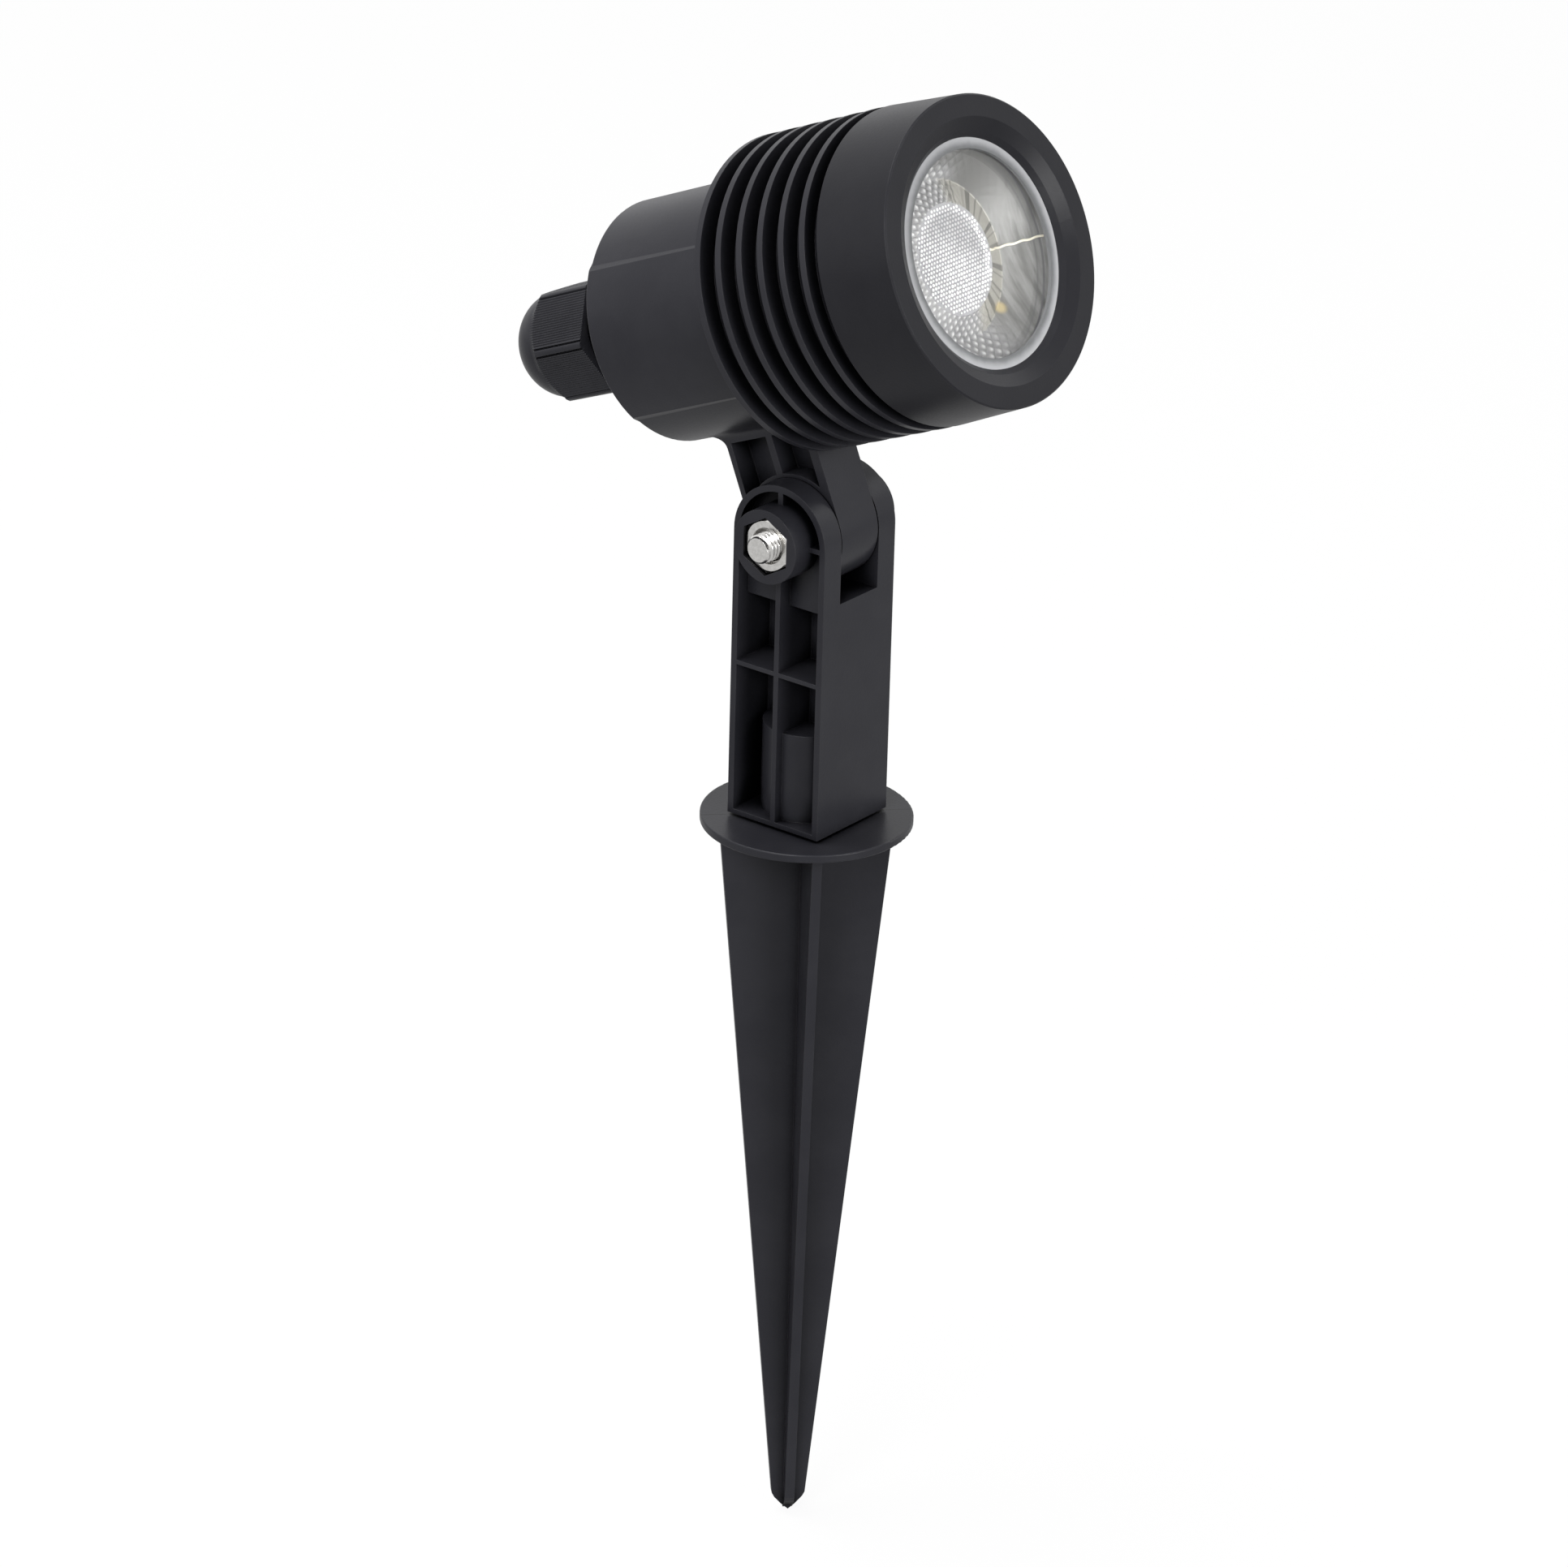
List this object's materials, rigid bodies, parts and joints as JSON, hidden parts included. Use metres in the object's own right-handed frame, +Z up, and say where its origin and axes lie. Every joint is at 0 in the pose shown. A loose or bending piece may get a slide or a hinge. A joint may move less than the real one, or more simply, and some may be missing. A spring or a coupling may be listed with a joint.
{
  "type": "garden spike spotlight",
  "caption": "Garden spotlight on a ground spike, with a finned tilting head, screw-on glazed bezel, reflector lamp and rear cable gland.",
  "frame": {"origin": "on the spike's axis at the ground line, which is the underside of its flange", "axes": "+Z up along the spike, the beam leaves towards -Y and 23 degrees up at rest, +X along the tilt axis from the nut to the bolt's head"},
  "size_m": [0.0618, 0.1229, 0.3107],
  "materials": {
    "moulded_black": "moulded, fine matt texture",
    "gland_black": "moulded nylon, satin",
    "seal_black": "soft seal",
    "silicone_grey": "translucent silicone",
    "stainless": "bright turned stainless",
    "clear_glass": "clear, polished",
    "optic_clear": "moulded clear optic",
    "phosphor": "LED phosphor",
    "lamp_silver": "satin aluminium",
    "board_white": "white solder mask",
    "board_green": "green solder mask",
    "component_dark": "moulded components",
    "lamp_white": "white thermoplastic",
    "nickel": "nickel plated",
    "holder_ceramic": "unglazed steatite",
    "contact_brass": "bare brass",
    "zinc_steel": "zinc plated sheet",
    "block_white": "white nylon",
    "lead_brown": "brown silicone insulation",
    "lead_blue": "blue silicone insulation"
  },
  "bodies": {
    "spike": {"ground_spike": "moulded_black"},
    "stem": {"stem": "moulded_black", "pivot_bolt": "stainless", "pivot_washer": "stainless", "pivot_nut": "stainless"},
    "head": {"lamp_housing": "moulded_black", "bezel_seal_ring": "seal_black", "lamp_body": "lamp_silver", "lamp_optic": "optic_clear", "lamp_led_chip": "phosphor", "lamp_led_board": "board_white", "lamp_driver_board": "board_green", "lamp_driver_parts": "component_dark", "lamp_base": "lamp_white", "lamp_pins": "nickel", "lamp_holder": "holder_ceramic", "holder_contacts": "contact_brass", "holder_bracket": "zinc_steel", "holder_screws": "stainless", "bracket_screws": "stainless", "terminal_block": "block_white", "terminal_barrels": "contact_brass", "terminal_screws": "stainless", "live_lead": "lead_brown", "neutral_lead": "lead_blue", "gland_body": "gland_black", "gland_seat_ring": "seal_black", "gland_locknut": "gland_black"},
    "glazing": {"front_glass": "clear_glass", "glass_gasket": "silicone_grey"},
    "bezel": {"front_bezel": "moulded_black"},
    "gland_insert": {"gland_claw": "gland_black", "gland_seal": "seal_black"},
    "gland_cap": {"gland_cap": "gland_black"}
  },
  "joints": [
    {"name": "stem_pan", "type": "hinge", "parent": "spike", "child": "stem", "pos_m": [0, 0, 0], "axis": [0, 0, 1], "continuous": true},
    {"name": "head_tilt", "type": "hinge", "parent": "stem", "child": "head", "pos_m": [0, 0, 0.0626], "axis": [1, 0, 0], "range_deg": [-68, 100]},
    {"name": "bezel_travel", "type": "slide", "parent": "head", "child": "glazing", "axis": [0, -0.9219, 0.3875], "range_m": [0, 0.01]},
    {"name": "bezel_turn", "type": "hinge", "parent": "glazing", "child": "bezel", "pos_m": [0, -0.03977, 0.12797], "axis": [0, -0.9219, 0.3875], "range_deg": [0, 1800]},
    {"name": "gland_cap_travel", "type": "slide", "parent": "head", "child": "gland_insert", "axis": [0, 0.9219, -0.3875], "range_m": [-0.0045, 0.00525]},
    {"name": "gland_cap_turn", "type": "hinge", "parent": "gland_insert", "child": "gland_cap", "pos_m": [0, 0.05328, 0.08869], "axis": [0, 0.9219, -0.3875], "range_deg": [-1080, 1260]}
  ],
  "couplings": [
    {"joint": "bezel_travel", "follows": "bezel_turn", "m_per_rad": 0.00031831},
    {"joint": "gland_cap_travel", "follows": "gland_cap_turn", "m_per_rad": 0.00023873}
  ]
}
